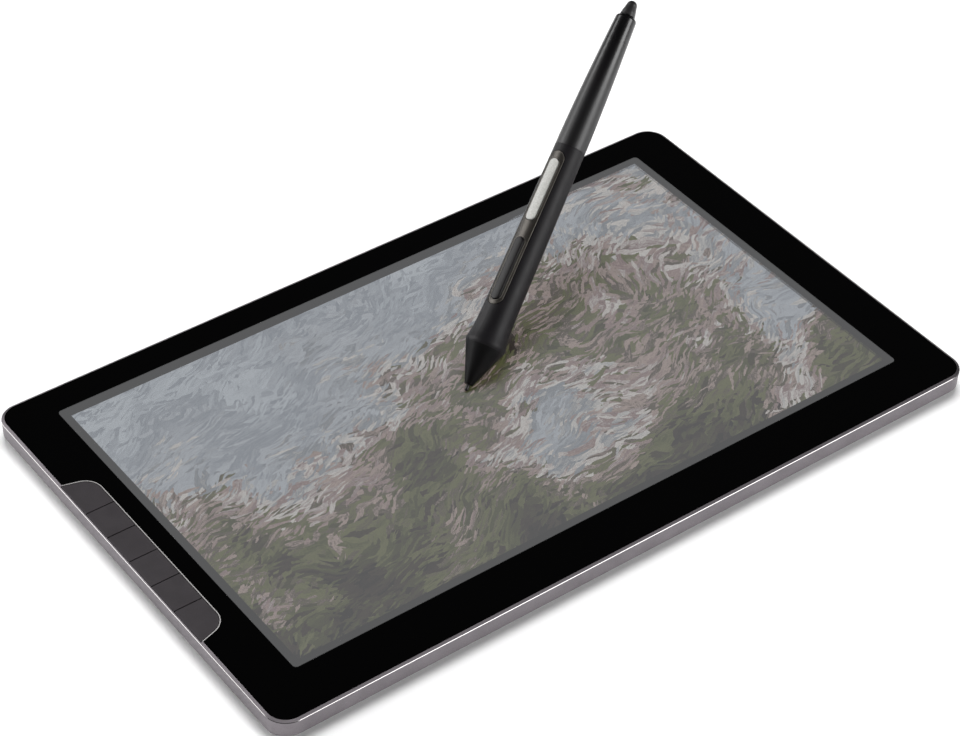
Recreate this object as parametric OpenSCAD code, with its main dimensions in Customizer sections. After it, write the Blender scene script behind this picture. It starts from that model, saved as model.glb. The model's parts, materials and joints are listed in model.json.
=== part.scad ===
// Pen display: a flat screen tablet with six shortcut keys, a surface film and a pen.
// The tablet lies on its rubber feet, long side along X, the user at -Y.
// The pen stands on the film with its nib, leaning as a hand holds it.

/* [Screen] */
// Width of the lit picture
active_w = 256.3; // [200:0.1:320]
// Depth of the lit picture
active_d = 144.2; // [120:0.1:190]
// Black glass beside the picture, left and right
margin_side = 20.8; // [19:0.1:30]
// Black glass beyond the picture, far edge
margin_far = 14.9; // [13:0.1:30]
// Black glass in front of the picture, near edge
margin_near = 21; // [17:0.1:35]
// Thickness of the front glass
glass_t = 1.1; // [0.7:0.05:2]
// Corner radius of the front glass
glass_corner_r = 7; // [5.5:0.25:14]
// Thickness of the bond under the glass
bond_t = 0.25; // [0.1:0.05:0.6]
// Thickness of the LCD panel
cell_t = 0.9; // [0.6:0.05:1.6]
// Panel edge beyond the picture, left and right
panel_side = 4.5; // [2:0.1:8]
// Panel edge beyond the picture, far edge
panel_far = 3.5; // [2:0.1:6]
// Panel edge in front of the picture, where its drivers are
panel_near = 8.5; // [4:0.1:10]

/* [Surface film] */
// Film beyond the picture on every side
film_margin = 3.2; // [1:0.1:8]
// Thickness of the film
film_t = 0.25; // [0.1:0.05:0.5]
// Corner radius of the film
film_corner_r = 1.5; // [0.5:0.25:5]

/* [Backlight] */
// Sheet thickness of the backlight tray
tray_t = 0.3; // [0.2:0.05:0.6]
// Thickness of the reflector sheet
reflector_t = 0.1; // [0.05:0.05:0.3]
// Thickness of the light guide
guide_t = 0.9; // [0.6:0.05:2]
// Thickness of the diffuser films together
diffuser_t = 0.5; // [0.2:0.05:1]
// Width of the LED strip
led_strip_w = 1.4; // [1:0.1:3]
// Play of the sheets in the tray
sheet_clear = 0.15; // [0.05:0.05:0.5]

/* [Boards] */
// Thickness of the pen sensor board
sensor_t = 0.5; // [0.3:0.05:1]
// Sensor board beyond the picture on every side
sensor_margin = 4; // [1:0.1:6]
// Thickness of the shield plate
shield_t = 0.3; // [0.2:0.05:0.8]
// Height kept for parts between main board and shield
part_room = 1.1; // [1:0.05:3]
// Thickness of the circuit boards
board_t = 0.8; // [0.6:0.05:1.6]
// Height of the main board above the rear cover
standoff_h = 0.5; // [0.3:0.05:2]
// Length of the main board along X
main_board_w = 86; // [70:1:110]
// Depth of the main board along Y
main_board_d = 64; // [60:1:70]
// Near edge of the main board, from the tablet's middle
main_board_y = -4; // [-20:1:4]
// Side of the main chip
chip_side = 13; // [8:0.5:18]
// Height of the main chip
chip_h = 0.9; // [0.5:0.05:1]
// Thickness of the flat ribbons
ribbon_t = 0.2; // [0.1:0.05:0.3]
// Width of the flat ribbons
ribbon_w = 8; // [4:0.5:12]
// Depth of a ribbon socket
socket_l = 5; // [3:0.5:8]
// Bulge of a folded flex past the edge it wraps
flex_bulge = 0.8; // [0.5:0.1:2]
// Side gap of the main board to the wall
board_gap = 0.3; // [0.2:0.05:1]
// Length of a small chip
small_chip_l = 5; // [3:0.5:8]
// Width of a small chip
small_chip_w = 4; // [2:0.5:6]
// Length of the LCD driver board
driver_board_w = 120; // [80:1:150]
// Depth of the LCD driver board
driver_board_d = 8; // [5:0.5:12]
// Setback of the driver board from the shield's near edge
driver_board_in = 2; // [1:0.5:6]

/* [Casing] */
// Width of the bevelled metal rim round the glass
rim_w = 1.1; // [0.8:0.05:2]
// Gap between glass and metal
glass_gap = 0.1; // [0.05:0.05:0.3]
// Play between pieces that are put together
fit_clear = 0.1; // [0.05:0.05:0.2]
// Fall of the rim's bevel
bevel_drop = 0.45; // [0.2:0.05:1]
// Width of the bright cut edge
edge_cut = 0.18; // [0.1:0.02:0.4]
// Lean of the side wall
wall_lean = 0.2; // [0.1:0.05:1]
// Radius under the side wall
wall_foot_r = 0.7; // [0.5:0.1:1.6]
// Thickness of the side wall at its widest
wall_t = 3.2; // [2.8:0.1:4]
// Width of the ledge that carries the glass
ledge_w = 4; // [3:0.1:5]
// Thickness of that ledge
ledge_t = 1; // [0.6:0.1:1.4]
// Thickness of the rear cover
cover_t = 1.2; // [1:0.05:2.5]
// Setback of the rear cover's edge from the tablet's edge
cover_inset = 2; // [1.9:0.1:4]
// Chamfer along the rear cover's edge
cover_chamfer = 0.8; // [0.2:0.05:0.95]
// Height of the feet below the rear cover
foot_proud = 1; // [0.5:0.1:3]
// Depth of the foot recess in the rear cover
foot_sink = 0.5; // [0.2:0.05:0.7]
// Length of a foot
foot_len = 46; // [20:1:80]
// Width of a foot
foot_w = 9; // [5:0.5:14]
// Setback of the feet from the left and right edges
foot_in_x = 44; // [30:1:60]
// Setback of the feet from the near and far edges
foot_in_y = 17; // [15:1:30]
// Length of a vent slot
vent_len = 16; // [6:1:30]
// Width of a vent slot
vent_w = 1.6; // [1:0.1:2.5]
// Number of vent slots
vent_count = 14; // [4:1:20]
// Spacing of the vent slots
vent_pitch = 4; // [3:0.1:6]

/* [Screws] */
// Shank diameter of the case screws
case_screw_d = 1.6; // [1.2:0.1:2.5]
// Head diameter of the case screws
case_head_d = 3.2; // [2.6:0.1:4]
// Head height of the case screws
case_head_h = 0.6; // [0.4:0.05:0.7]
// Length of thread in the frame
case_thread = 3.4; // [2:0.1:4]
// Diameter of the screw posts in the frame
case_post_d = 5; // [4.4:0.1:6]
// Setback of the screws from the tablet's edge
case_screw_in = 5.4; // [5.2:0.1:6]
// Distance of the side screws from the far and near ones, along Y
case_screw_step = 16; // [12:0.5:24]
// Shank diameter of the board screws
board_screw_d = 1.6; // [1.2:0.1:2]
// Head diameter of the board screws
board_head_d = 3; // [2.4:0.1:4]
// Head height of the board screws
board_head_h = 0.6; // [0.4:0.05:0.9]
// Setback of the board screws from the board's edges
board_screw_in = 3; // [2.5:0.1:5]
// Setback of the outer board screws from the board's right end
board_screw_end = 16; // [12:0.5:20]
// Wall of the posts round the board screws' heads
standoff_wall = 0.7; // [0.4:0.1:1.5]
// Gap round a screw's shank
screw_clear = 0.05; // [0.02:0.01:0.1]

/* [Key bay] */
// Spacing of the shortcut keys
key_pitch = 14.05; // [11:0.05:18]
// Extra length of the bay at each end, at the metal edge
bay_extra = 2.95; // [1:0.05:6]
// Depth of the bay from the tablet's edge
bay_depth = 11.8; // [11:0.1:13]
// Slant of the bay's ends
bay_slant = 16; // [5:1:30]
// Radius of the bay's inner corners
bay_r = 7; // [3:0.25:7.5]
// Width of the thin metal rib round the bay
rib_t = 0.35; // [0.3:0.05:0.8]
// Width of the glass ledge round the bay
bay_ledge_w = 3; // [2:0.1:3.2]
// Metal lip outside the keys
bay_lip = 0.5; // [0.4:0.05:0.8]
// Gap round a key
key_gap = 0.2; // [0.1:0.05:0.4]
// Gap between neighbouring keys
key_split = 0.4; // [0.2:0.05:0.6]
// Thickness of a key's cap
key_cap_t = 1; // [0.7:0.05:1.4]
// Depth of the key tops below the glass top
key_sink = 0.1; // [0:0.05:0.4]
// Edge chamfer of the keys
key_chamfer = 0.25; // [0.1:0.05:0.4]
// Length of the post under a key
key_post_l = 1; // [0.8:0.1:1.6]
// Diameter of that post
key_post_d = 2.6; // [1.5:0.1:4]
// Travel of a key
key_travel = 0.4; // [0.2:0.05:0.6]
// Height of a key switch on its board
key_switch_h = 0.7; // [0.4:0.05:1]
// Diameter of a key switch
key_switch_d = 4.2; // [3:0.1:6]
// Rest gap left when a button is fully pressed
press_rest = 0.05; // [0.02:0.01:0.1]
// Step between key bay and key board pocket
pocket_step = 0.9; // [0.5:0.1:1.5]
// Floor under the key board
bay_floor_t = 0.8; // [0.6:0.05:1.4]

/* [Sockets and power button] */
// Width of a USB-C shell
usb_w = 8.94; // [8.9:0.01:9.2]
// Height of a USB-C shell
usb_h = 3.2; // [3.1:0.01:3.3]
// Wall of a USB-C shell
usb_wall = 0.3; // [0.2:0.02:0.35]
// Depth of a USB-C shell
usb_depth = 7.4; // [6:0.1:9]
// Width of the tongue in a socket
usb_tongue_w = 6.69; // [6.4:0.01:6.8]
// Thickness of the tongue in a socket
usb_tongue_t = 0.7; // [0.6:0.02:0.8]
// Length of the tongue in a socket
usb_tongue_l = 4.45; // [4:0.05:5]
// Setback of the sockets from the tablet's edge
usb_inset = 1; // [0.8:0.1:1.6]
// Gap between a socket and the wall round it
usb_clear = 0.5; // [0.45:0.05:0.8]
// Place of the first socket along the right edge
usb_1_y = 12; // [8:0.5:16]
// Place of the second socket along the right edge
usb_2_y = 28; // [24:0.5:32]
// Setback of the power button from the main board's far end
power_end = 14; // [12:0.5:18]
// Length of the power button
power_len = 10; // [7:0.5:12]
// Width of the power button
power_w = 2.4; // [1.6:0.1:2.6]
// Gap round the power button
power_gap = 0.15; // [0.1:0.05:0.3]
// Travel of the power button
power_travel = 0.4; // [0.2:0.05:0.6]
// Thickness of the power button's inner flange
power_flange_t = 0.6; // [0.4:0.05:0.9]
// Overlap of that flange behind the wall
power_flange = 0.35; // [0.2:0.05:0.5]
// Depth of the power switch
power_switch_l = 3; // [2:0.1:4]
// Width of the power switch
power_switch_w = 4.6; // [3:0.1:6]
// Height of the power switch
power_switch_h = 2.4; // [1.6:0.1:3]
// Setback of the power button's face from the tablet's edge
power_face_in = 0.15; // [0.1:0.05:0.4]

/* [Pen pose] */
// Nib's place from the picture's middle, along X
tip_x = -6.5; // [-60:0.1:20]
// Nib's place from the picture's middle, along Y
tip_y = 1.2; // [-30:0.1:20]
// Lean of the pen from upright
pen_tilt = 53.6; // [20:0.1:58]
// Heading of the lean, from +X towards +Y
pen_heading = 25.4; // [0:0.1:60]
// Turn of the buttons about the pen's own axis
pen_roll = 163; // [0:1:360]
// Gap between nib and film
nib_lift = 0.1; // [0.05:0.01:0.3]

/* [Pen body] */
// Diameter of the nib
nib_d = 1.5; // [1.2:0.05:2]
// Length of nib that shows
nib_show = 2.5; // [1.5:0.1:4]
// Nib inside the pen
nib_inside = 25.5; // [24:0.5:30]
// Travel of the nib
nib_travel = 0.5; // [0.2:0.05:0.8]
// Gap round the nib
nib_clear = 0.1; // [0.05:0.01:0.1]
// Small end of the nose cone
cone_tip_d = 3.1; // [2.8:0.05:4]
// Large end of the nose cone
cone_base_d = 14.4; // [13.5:0.1:16]
// Length of the nose cone
cone_len = 14.5; // [13:0.1:18]
// Wall of the nose cone
cone_wall = 1.3; // [1:0.05:1.6]
// Length of the nose cone's neck in the grip
cone_neck_l = 4; // [3:0.1:5]
// Length of the grip
grip_len = 79.3; // [76:0.1:100]
// Diameter of the grip behind its flare
grip_d = 13; // [12:0.1:14]
// Diameter at the seam between grip and upper barrel
seam_d = 11.5; // [11:0.1:12]
// Rise of the grip's flare at its front
flare_rise = 1.6; // [1:0.1:2]
// Length over which the grip's flare dies out
flare_len = 4.6; // [2:0.1:6]
// Length of the rounded lip at the grip's front
lip_l = 2; // [1:0.1:3]
// Bore of the grip
grip_bore_d = 7.4; // [7:0.1:7.6]
// Gap at the seam between grip and upper barrel
seam_gap = 0.15; // [0.05:0.05:0.3]
// Length of the upper barrel
barrel_len = 54.1; // [45:0.1:70]
// Diameter of the upper barrel before its rounded end
barrel_end_d = 8; // [7.6:0.1:9]
// Wall of the upper barrel
barrel_wall = 1.5; // [1:0.05:1.7]
// Length of the upper barrel's neck in the grip
barrel_neck_l = 5; // [3:0.1:5.5]
// Radius of the upper barrel's rounded end
barrel_round = 1.2; // [0.6:0.1:1.4]
// Gap of a neck in its bore
neck_clear = 0.05; // [0.02:0.01:0.1]

/* [Pen buttons] */
// Start of the button surround behind the nose cone
slot_start = 15.1; // [13:0.1:17]
// Width of the button surround
slot_w = 6.6; // [6:0.1:7.4]
// Surround beyond the lower button
slot_front = 1.8; // [0.5:0.1:2]
// Surround beyond the upper button
slot_back = 3.2; // [1:0.1:3.5]
// Length of a pen button
pen_button_l = 24.7; // [22:0.1:26]
// Width of a pen button
pen_button_w = 3.9; // [3.6:0.1:5]
// Saddle between the two buttons
saddle_l = 6.9; // [4:0.1:7]
// Height of the buttons above the grip
pen_button_proud = 0.35; // [0.1:0.05:0.6]
// Depth of the surround below the grip's surface
slot_sink = 0.1; // [0.05:0.05:0.2]
// Distance of the surround's seat from the pen's axis
slot_seat = 4.3; // [4.2:0.05:4.4]
// Gap round a pen button
pen_button_gap = 0.15; // [0.1:0.05:0.25]
// Gap round the surround
slot_gap = 0.05; // [0.02:0.01:0.1]
// Travel of a pen button
pen_button_travel = 0.4; // [0.2:0.05:0.5]
// Diameter of the stem under a pen button
stem_d = 2; // [1.4:0.1:2.6]

/* [Pen tail] */
// Length of the tail tip that shows
tail_len = 6.1; // [4:0.1:9]
// Diameter of the tail tip at its root
tail_d = 5.8; // [5.2:0.1:6.2]
// Diameter of the tail tip before its rounded end
tail_end_d = 4; // [3:0.1:4.2]
// Length of the tail tip's straight skirt
tail_skirt = 1.6; // [1:0.1:2.5]
// Travel of the tail tip
tail_travel = 0.4; // [0.2:0.05:0.6]
// Diameter of the tail tip's stem
tail_stem_d = 3.2; // [2.4:0.1:3.4]
// Length of that stem
tail_stem_l = 5; // [3:0.1:6]
// Length of the tail switch
tail_switch_l = 7; // [4:0.1:9]

/* [Pen electronics] */
// Solid tip of the nose cone in front of the ferrite core
cone_solid = 5; // [4:0.1:6]
// Bare ferrite in front of the coil
coil_in = 2.5; // [2:0.1:4]
// Ferrite behind the nose cone's neck
ferrite_end = 1.2; // [0.8:0.1:2]
// Room of a pen switch beside its stem
pen_switch_rim = 0.5; // [0.3:0.1:0.8]
// Diameter of the ferrite core
ferrite_d = 3.6; // [3.2:0.1:3.8]
// Diameter over the coil
coil_d = 5; // [4.4:0.1:5.4]
// Length of the coil
coil_l = 9; // [5:0.1:9.5]
// Length of the pressure sensor
pressure_l = 14; // [12:0.5:16]
// Width of the pen's circuit board
pen_board_w = 5.4; // [4.5:0.1:5.6]
// Height of the pen board's top above the axis
pen_board_top = 1.9; // [1.2:0.1:2]
// Height of a switch on the pen's board
pen_switch_h = 0.8; // [0.5:0.05:1]

/* [Hidden] */
$fn = 64;

// Overshoot of cuts past the faces they open
cut = 1;

// Plan sizes
glass_w = active_w + 2 * margin_side;
glass_d = active_d + margin_far + margin_near;
body_w = glass_w + 2 * (rim_w + glass_gap);
body_d = glass_d + 2 * (rim_w + glass_gap);
body_r = glass_corner_r + rim_w + glass_gap;
active_y = (margin_near - margin_far) / 2;
panel_w = active_w + 2 * panel_side;
panel_d = active_d + panel_far + panel_near;
panel_y = active_y + (panel_far - panel_near) / 2;
sensor_w = active_w + 2 * sensor_margin;
sensor_d = active_d + 2 * sensor_margin;
edge_l = -body_w / 2;
edge_r = body_w / 2;
ledge_in = rim_w + ledge_w;

// Heights, from the desk up
z_floor = foot_proud + cover_t;
z_board = z_floor + standoff_h;
z_board_top = z_board + board_t;
z_shield = z_board_top + part_room;
z_sensor = z_shield + shield_t;
z_tray = z_sensor + sensor_t;
z_reflector = z_tray + tray_t;
z_guide = z_reflector + reflector_t;
z_diffuser = z_guide + guide_t;
z_cell = z_diffuser + diffuser_t;
z_bond = z_cell + cell_t;
z_glass = z_bond + bond_t;
z_top = z_glass + glass_t;
z_film = z_top + film_t;
z_ledge = z_bond;

// Key bay
key_count = 6;
bay_half = key_count / 2 * key_pitch + bay_extra;
bay_in_x = edge_l + bay_depth;
bay_arc_x = bay_in_x - bay_r;
bay_arc_y = bay_half - (bay_arc_x - edge_l) * tan(bay_slant) - bay_r / cos(bay_slant);
bay_arc_steps = 12;
pocket_x = edge_l + wall_t;
key_x = (pocket_x + bay_in_x - pocket_step) / 2;
z_key = z_top - key_sink;
z_key_under = z_key - key_cap_t;
z_rebate = z_key_under - key_travel - press_rest;
z_key_post = z_key_under - key_post_l;
z_key_switch = z_key_post - key_travel - press_rest;
z_key_board_top = z_key_switch - key_switch_h;
z_key_board = z_key_board_top - board_t;
z_bay = z_key_board - bay_floor_t;

// Right edge
wall_in_x = edge_r - wall_t;
main_board_x = wall_in_x - board_gap - main_board_w;
z_port = z_board_top + usb_h / 2;
chip_x = main_board_x + main_board_w / 3;
chip_y = main_board_y + main_board_d / 2;
port_y = [usb_1_y, usb_2_y];
power_y = main_board_y + main_board_d - power_end;
power_flange_x = wall_in_x - board_gap / 2;
power_switch_x = power_flange_x - power_flange_t - power_travel - press_rest;

// Inside of the tray, less the sheets' play
sheet_w = panel_w - 2 * (tray_t + sheet_clear);
sheet_d = panel_d - 2 * (tray_t + sheet_clear);

// LCD driver board, taped under the shield along its near edge
driver_y = active_y - sensor_d / 2 + driver_board_in;
z_driver = z_shield - board_t;

// Ribbons run flat under the shield at this height and end on sockets of the main board
z_ribbon = z_shield - ribbon_t;
display_socket_x = main_board_x + main_board_w / 2;
key_socket_y = main_board_y + main_board_d / 3;
sensor_socket_y = main_board_y + main_board_d / 2;
sensor_tail_x = sensor_w / 2;

// Screws
side_screw_y = body_d / 2 - case_screw_in - case_screw_step;
long_screw_x = body_w / 4;
case_points = [
    for (sx = [-1, 1], sy = [-1, 1]) [sx * (edge_r - case_screw_in), sy * side_screw_y],
    for (sx = [-1, 1], sy = [-1, 1]) [sx * long_screw_x, sy * (body_d / 2 - case_screw_in)]
];
board_points = [
    for (x = [board_screw_in, main_board_w - board_screw_end])
        for (y = [board_screw_in, main_board_d - board_screw_in])
            [main_board_x + x, main_board_y + y]
];
standoff_d = board_head_d + 2 * standoff_wall;

// Pen, from the nib's tip back
s_cone = nib_show;
s_grip = s_cone + cone_len;
s_seam = s_grip + grip_len;
s_barrel_end = s_seam + barrel_len;
tail_gap = tail_travel + press_rest;
s_tail = s_barrel_end + tail_gap;
s_slot = s_grip + slot_start;
s_lower = s_slot + slot_front;
s_upper = s_lower + pen_button_l + saddle_l;
slot_l = slot_front + 2 * pen_button_l + saddle_l + slot_back;
nib_len = nib_show + nib_inside;
s_ferrite = s_cone + cone_solid;
s_coil = s_ferrite + coil_in;
s_pressure = s_grip + cone_neck_l + ferrite_end;
s_pen_board = s_pressure + pressure_l;
pen_board_l = s_upper + pen_button_l - s_pen_board;
grip_bore_r = grip_bore_d / 2;
barrel_bore_r = barrel_end_d / 2 - barrel_wall;
s_tail_switch = s_tail - tail_stem_l - tail_gap - tail_switch_l;
barrel_taper_l = barrel_len - barrel_round;
button_under = slot_seat + pen_button_travel + press_rest;
stem_end = pen_board_top + pen_switch_h + pen_button_travel + press_rest;

// Stations along the grip, close together at the lip and the flare, and along the upper barrel
flare_reach = 4 * flare_len;
lip_steps = 5;
flare_steps = 8;
grip_steps = 8;
grip_stations = concat(
    [for (i = [0 : lip_steps]) i / lip_steps * lip_l],
    [for (i = [1 : flare_steps]) lip_l + i / flare_steps * (flare_reach - lip_l)],
    [for (i = [1 : grip_steps]) flare_reach + i / grip_steps * (grip_len - flare_reach)]
);
barrel_steps = 16;

// Depth by which the lip is rounded off at the nose cone
lip_drop = grip_d / 2 + flare_rise - cone_base_d / 2;

// Powers of the grip's and the upper barrel's tapers, which quicken towards the tail
grip_curve = 1.4;
barrel_curve = 1.6;

// Plan of a rectangle with round corners
module round_rect(w, d, r) {
    square([w - 2 * r, d], center = true);
    square([w, d - 2 * r], center = true);
    for (sx = [-1, 1], sy = [-1, 1])
        translate([sx * (w / 2 - r), sy * (d / 2 - r)]) circle(r);
}

// Plan of a slot with round ends, along X
module stadium(l, w) {
    square([l - w, w], center = true);
    for (s = [-1, 1]) translate([s * (l - w) / 2, 0]) circle(d = w);
}

// A block given by its low corner and size
module block(low, size) {
    translate(low) cube(size);
}

// A sheet centred on x = 0, given by width, depth, middle y, height and thickness
module sheet(w, d, y, z, t) {
    translate([-w / 2, y - d / 2, z]) cube([w, d, t]);
}

// Carries a profile round a rectangle with round corners.
// The profile's x is 0 at the outline and negative inside, its y is the height.
module rim_sweep(w, d, r) {
    for (i = [0 : 3]) {
        across = i % 2 == 0 ? w : d;
        along = i % 2 == 0 ? d : w;
        rotate([0, 0, 90 * i]) {
            translate([across / 2, 0, 0]) rotate([90, 0, 0])
                linear_extrude(along - 2 * r, center = true) children();
            translate([across / 2 - r, along / 2 - r, 0])
                rotate_extrude(angle = 90) translate([r, 0]) children();
        }
    }
}

// Plan of the key bay, grown by g, from x_out inwards
module bay_plan(g, x_out) {
    slant_y = bay_half + g / cos(bay_slant) - (x_out - edge_l) * tan(bay_slant);
    turn = 90 - bay_slant;
    half = [
        [x_out, slant_y],
        for (i = [0 : bay_arc_steps])
            let (a = turn * (1 - i / bay_arc_steps))
                [bay_arc_x, bay_arc_y] + (bay_r + g) * [cos(a), sin(a)]
    ];
    polygon([for (p = half) p, for (i = [len(half) - 1 : -1 : 0]) [half[i].x, -half[i].y]]);
}

// Section of the frame: bevelled rim, cut edge, leaning wall with a round foot, glass ledge
module frame_section() {
    foot_mid = [-wall_lean - wall_foot_r, z_floor + wall_foot_r];
    z_edge = z_top - bevel_drop;
    polygon([
        [-rim_w, z_top],
        [-edge_cut, z_edge],
        [0, z_edge - edge_cut],
        for (a = [0 : -15 : -90]) foot_mid + wall_foot_r * [cos(a), sin(a)],
        [-wall_t, z_floor],
        [-wall_t, z_ledge - ledge_t],
        [-ledge_in, z_ledge - ledge_t],
        [-ledge_in, z_ledge],
        [-rim_w, z_ledge]
    ]);
}

// Socket and button openings in the right wall
module right_edge_openings() {
    deep = wall_t + cut;
    for (y = port_y)
        translate([edge_r - deep, y, z_port]) rotate([90, 0, 90])
            linear_extrude(2 * deep) stadium(usb_w + 2 * usb_clear, usb_h + 2 * usb_clear);
    translate([edge_r - deep, power_y, z_port]) rotate([90, 0, 90])
        linear_extrude(2 * deep) stadium(power_len + 2 * power_gap, power_w + 2 * power_gap);
}

// Way for the key ribbon through the bay's inner wall
module key_ribbon_way() {
    start = bay_in_x - pocket_step - cut;
    block(
        [start, key_socket_y - ribbon_w / 2 - fit_clear, z_key_board],
        [bay_in_x + bay_ledge_w + cut - start, ribbon_w + 2 * fit_clear, board_t + fit_clear]
    );
}

module mid_frame() {
    color("#85808a") difference() {
        union() {
            rim_sweep(body_w, body_d, body_r) frame_section();
            translate([0, 0, z_bay]) linear_extrude(z_ledge - z_bay)
                bay_plan(bay_ledge_w, edge_l + wall_t - wall_lean);
            translate([0, 0, z_ledge - ledge_t]) linear_extrude(z_top - z_ledge + ledge_t)
                bay_plan(rib_t, edge_l + rim_w);
            for (p = case_points) translate([p.x, p.y, z_floor])
                cylinder(d = case_post_d, h = z_ledge - ledge_t / 2 - z_floor);
        }
        translate([0, 0, z_rebate]) linear_extrude(z_top) bay_plan(0, edge_l + bay_lip);
        translate([0, 0, z_key_board]) linear_extrude(z_top) bay_plan(-pocket_step, pocket_x);
        key_ribbon_way();
        right_edge_openings();
        for (p = case_points) translate([p.x, p.y, z_floor - cut])
            cylinder(d = case_screw_d + 2 * screw_clear, h = case_thread + screw_clear + cut);
    }
}

// Feet are placed by this on both long edges
module at_feet() {
    for (sx = [-1, 1], sy = [-1, 1])
        translate([sx * (edge_r - foot_in_x), sy * (body_d / 2 - foot_in_y), 0]) children();
}

module rear_cover() {
    w = body_w - 2 * cover_inset;
    d = body_d - 2 * cover_inset;
    r = body_r - cover_inset;
    lap = r / 2;
    rim_in = 1.5 * lap;
    color("#3c3b40") difference() {
        union() {
            rim_sweep(w, d, r) polygon([
                [0, z_floor],
                [0, foot_proud + cover_chamfer],
                [-cover_chamfer, foot_proud],
                [-rim_in, foot_proud],
                [-rim_in, z_floor]
            ]);
            translate([0, 0, foot_proud]) linear_extrude(cover_t)
                square([w - 2 * lap, d - 2 * lap], center = true);
            for (p = board_points) translate([p.x, p.y, z_floor - cover_t / 2])
                cylinder(d = standoff_d, h = standoff_h + cover_t / 2);
        }
        at_feet() translate([0, 0, foot_proud - cut]) linear_extrude(foot_sink + cut)
            stadium(foot_len + 2 * fit_clear, foot_w + 2 * fit_clear);
        for (p = case_points) translate([p.x, p.y, 0]) {
            cylinder(d = case_head_d + 2 * fit_clear, h = foot_proud + case_head_h);
            cylinder(d = case_screw_d + 2 * screw_clear, h = z_floor + cut);
        }
        for (p = board_points) translate([p.x, p.y, z_floor - cover_t / 2])
            cylinder(d = board_screw_d + 2 * screw_clear, h = cover_t + standoff_h);
        for (i = [0 : vent_count - 1])
            translate([(i - (vent_count - 1) / 2) * vent_pitch, body_d / 4, 0])
                linear_extrude(z_floor + cut) rotate(90) stadium(vent_len, vent_w);
    }
}

module rubber_feet() {
    color("#1d1d1f") at_feet() linear_extrude(foot_proud + foot_sink) stadium(foot_len, foot_w);
}

module case_screws() {
    recess_l = case_head_d * 2 / 3;
    recess_w = case_screw_d / 4;
    color("#b9babd") for (p = case_points) translate([p.x, p.y, foot_proud]) difference() {
        union() {
            cylinder(d = case_head_d, h = case_head_h);
            cylinder(d = case_screw_d, h = cover_t + case_thread);
        }
        for (a = [0, 90]) rotate(a) cube([recess_l, recess_w, case_head_h], center = true);
    }
}

module front_glass() {
    color("#0b0b0d") translate([0, 0, z_glass]) linear_extrude(glass_t) difference() {
        round_rect(glass_w, glass_d, glass_corner_r);
        bay_plan(rib_t + glass_gap, edge_l - rim_w);
    }
}

module glass_gasket() {
    inner_w = body_w - 2 * ledge_in + 2 * fit_clear;
    inner_d = body_d - 2 * ledge_in + 2 * fit_clear;
    color("#2a2a2a") translate([0, 0, z_ledge]) linear_extrude(bond_t) difference() {
        round_rect(glass_w, glass_d, glass_corner_r);
        difference() {
            round_rect(inner_w, inner_d, body_r - ledge_in + fit_clear);
            bay_plan(bay_ledge_w - fit_clear, edge_l - rim_w);
        }
        bay_plan(rib_t + glass_gap, edge_l - rim_w);
    }
}

module surface_film() {
    color("#d8dadb", 0.4) translate([0, active_y, z_top]) linear_extrude(film_t)
        round_rect(active_w + 2 * film_margin, active_d + 2 * film_margin, film_corner_r);
}

module optical_bond() {
    color("#e8eef2") sheet(panel_w, panel_d, panel_y, z_bond, bond_t);
}

module lcd_panel() {
    color("#5f6b78") sheet(panel_w, panel_d, panel_y, z_cell, cell_t);
}

module diffuser_films() {
    color("#f3f4f6") sheet(sheet_w, sheet_d, panel_y, z_diffuser, diffuser_t);
}

module light_guide() {
    y = panel_y + (led_strip_w + sheet_clear) / 2;
    color("#dfeaf0") sheet(sheet_w, sheet_d - led_strip_w - sheet_clear, y, z_guide, guide_t);
}

module reflector_sheet() {
    color("#f8f8f8") sheet(sheet_w, sheet_d, panel_y, z_reflector, reflector_t);
}

module led_strip() {
    y = panel_y - sheet_d / 2 + led_strip_w / 2;
    color("#e9d36a") sheet(sheet_w, led_strip_w, y, z_guide, guide_t);
}

module backlight_tray() {
    color("#c4c6c9") difference() {
        sheet(panel_w, panel_d, panel_y, z_tray, z_cell - z_tray);
        sheet(panel_w - 2 * tray_t, panel_d - 2 * tray_t, panel_y, z_reflector, z_cell);
    }
}

module sensor_board() {
    color("#1f6b46") sheet(sensor_w, sensor_d, active_y, z_sensor, sensor_t);
}

module shield_plate() {
    color("#bfc1c4") sheet(sensor_w, sensor_d, active_y, z_shield, shield_t);
}

module driver_board() {
    color("#20704a")
        block([-driver_board_w / 2, driver_y, z_driver], [driver_board_w, driver_board_d, board_t]);
}

// Flex from the panel's near edge, down and under to the driver board
module panel_flex() {
    near_y = panel_y - panel_d / 2;
    high = z_cell + cell_t / 2;
    low = z_driver - ribbon_t;
    color("#b5762a") rotate([90, 0, 90]) linear_extrude(driver_board_w / 2, center = true) polygon([
        [near_y, high],
        [near_y, high - ribbon_t],
        [near_y - flex_bulge + ribbon_t, high - ribbon_t],
        [near_y - flex_bulge + ribbon_t, low + ribbon_t],
        [driver_y + driver_board_d / 2, low + ribbon_t],
        [driver_y + driver_board_d / 2, low],
        [near_y - flex_bulge, low],
        [near_y - flex_bulge, high]
    ]);
}

module display_ribbon() {
    x0 = driver_board_w / 2;
    y0 = driver_y + (driver_board_d - ribbon_w) / 2;
    reach = main_board_y + socket_l - y0;
    color("#d9d4c4") {
        block([x0, y0, z_ribbon], [display_socket_x + ribbon_w / 2 - x0, ribbon_w, ribbon_t]);
        block([display_socket_x - ribbon_w / 2, y0, z_ribbon], [ribbon_w, reach, ribbon_t]);
    }
}

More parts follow.
